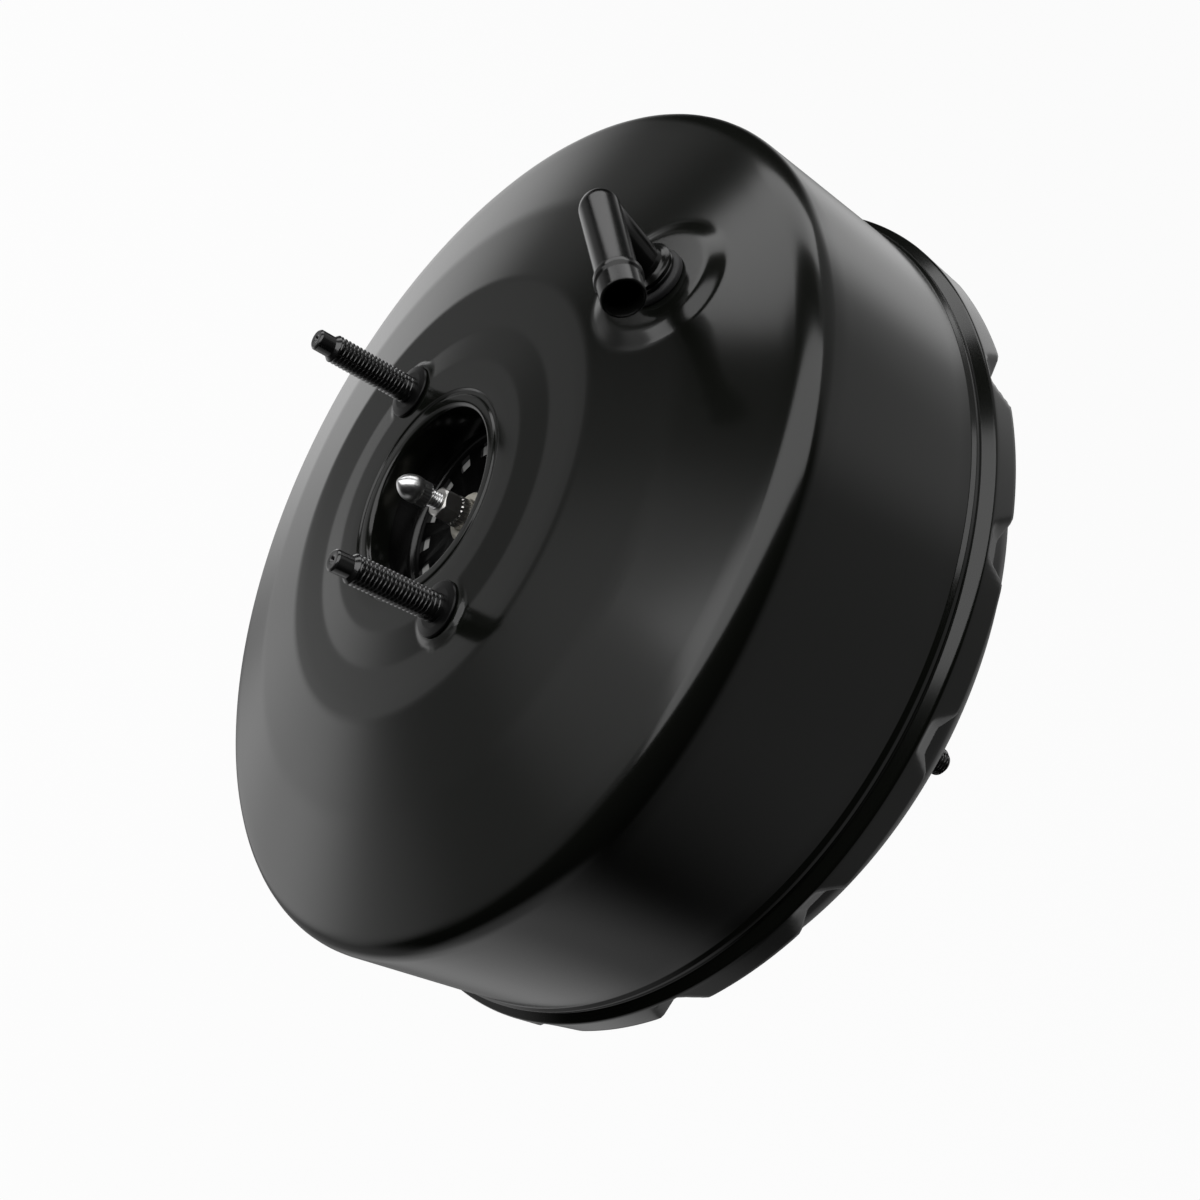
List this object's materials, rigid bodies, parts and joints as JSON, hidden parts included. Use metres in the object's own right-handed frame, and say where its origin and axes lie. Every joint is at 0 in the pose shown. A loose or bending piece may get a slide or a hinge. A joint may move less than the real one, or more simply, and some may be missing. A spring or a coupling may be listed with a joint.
{
  "type": "brake booster",
  "caption": "Round vacuum brake booster with locked rim, front output rod, mounting studs, swivelling check valve elbow, booted neck and input push rod.",
  "frame": {"origin": "centre of the firewall face, on the booster's axis", "axes": "+Y along the booster's axis from the master cylinder side to the pedal side; +Z from the axis towards the check valve; +X to one of the two master cylinder studs"},
  "size_m": [0.2556, 0.2638, 0.2556],
  "materials": {
    "black_coat": "smooth glossy black",
    "dark_stud": "dark phosphate, oiled",
    "nut_zinc": "bright zinc plate",
    "plate_steel": "dull zinc plate",
    "guide_black": "black",
    "guide_bush": "dull grey nylon",
    "rod_steel": "machined steel",
    "tip_chrome": "polished, hardened tip",
    "rubber_black": "matt black rubber",
    "piston_plastic": "moulded thermoset, dark",
    "valve_plastic": "moulded black nylon",
    "bush_plastic": "natural nylon",
    "spring_steel": "oiled spring wire",
    "felt": "open foam"
  },
  "bodies": {
    "housing": {"front_shell": "black_coat", "rear_shell": "black_coat", "front_plate": "plate_steel", "rear_plate": "plate_steel", "master_cylinder_studs": "dark_stud", "stud_washers": "dark_stud", "firewall_studs": "dark_stud", "rod_guide": "guide_black", "rod_guide_ring": "plate_steel", "rod_guide_bush": "guide_bush", "neck_bush": "bush_plastic", "neck_seal": "rubber_black", "grommet": "rubber_black", "dust_boot": "rubber_black"},
    "power_piston": {"power_piston": "piston_plastic", "diaphragm_plate": "plate_steel", "diaphragm": "rubber_black", "output_rod": "rod_steel", "reaction_disc": "rubber_black", "output_rod_retainer": "spring_steel", "poppet_retainer": "plate_steel", "air_filter": "felt", "return_spring": "spring_steel"},
    "plunger": {"valve_plunger": "rod_steel", "stop_key": "spring_steel"},
    "poppet": {"poppet_valve": "rubber_black", "poppet_spring": "spring_steel"},
    "input_rod": {"input_rod": "rod_steel", "lock_nut": "nut_zinc", "rod_spring": "spring_steel"},
    "rod_tip": {"output_rod_tip": "tip_chrome"},
    "check_valve": {"check_valve_base": "valve_plastic", "check_valve_elbow": "valve_plastic"},
    "check_disc": {"check_valve_disc": "rubber_black"}
  },
  "joints": [
    {"name": "piston_slide", "type": "slide", "parent": "housing", "child": "power_piston", "axis": [0, -1, 0], "range_m": [0, 0.032], "stiffness_N_per_m": 3000, "springref_m": -0.03, "deforming": ["return_spring", "diaphragm", "dust_boot"]},
    {"name": "plunger_slide", "type": "slide", "parent": "power_piston", "child": "plunger", "axis": [0, -1, 0], "range_m": [0, 0.0015], "stiffness_N_per_m": 600, "springref_m": -0.005, "deforming": ["rod_spring"]},
    {"name": "poppet_slide", "type": "slide", "parent": "power_piston", "child": "poppet", "axis": [0, -1, 0], "range_m": [0, 0.00075], "deforming": ["poppet_spring"]},
    {"name": "input_rod_swivel", "type": "hinge", "parent": "plunger", "child": "input_rod", "pos_m": [0, 0.0025, 0], "axis": [1, 0, 0], "range_deg": [-2.5, 2.5], "stiffness_Nm_per_rad": 8},
    {"name": "rod_tip_adjust", "type": "slide", "parent": "power_piston", "child": "rod_tip", "axis": [0, -1, 0], "range_m": [-0.003, 0.003]},
    {"name": "check_valve_swivel", "type": "hinge", "parent": "housing", "child": "check_valve", "pos_m": [0, -0.11334, 0.0865], "axis": [0, -0.9691, 0.2467], "range_deg": [-90, 90]},
    {"name": "check_disc_lift", "type": "slide", "parent": "check_valve", "child": "check_disc", "axis": [0, -0.9691, 0.2467], "range_m": [0, 0.0022], "stiffness_N_per_m": 40, "springref_m": -0.002}
  ],
  "couplings": [
    {"joint": "poppet_slide", "follows": "plunger_slide", "ratio": 0.5}
  ]
}
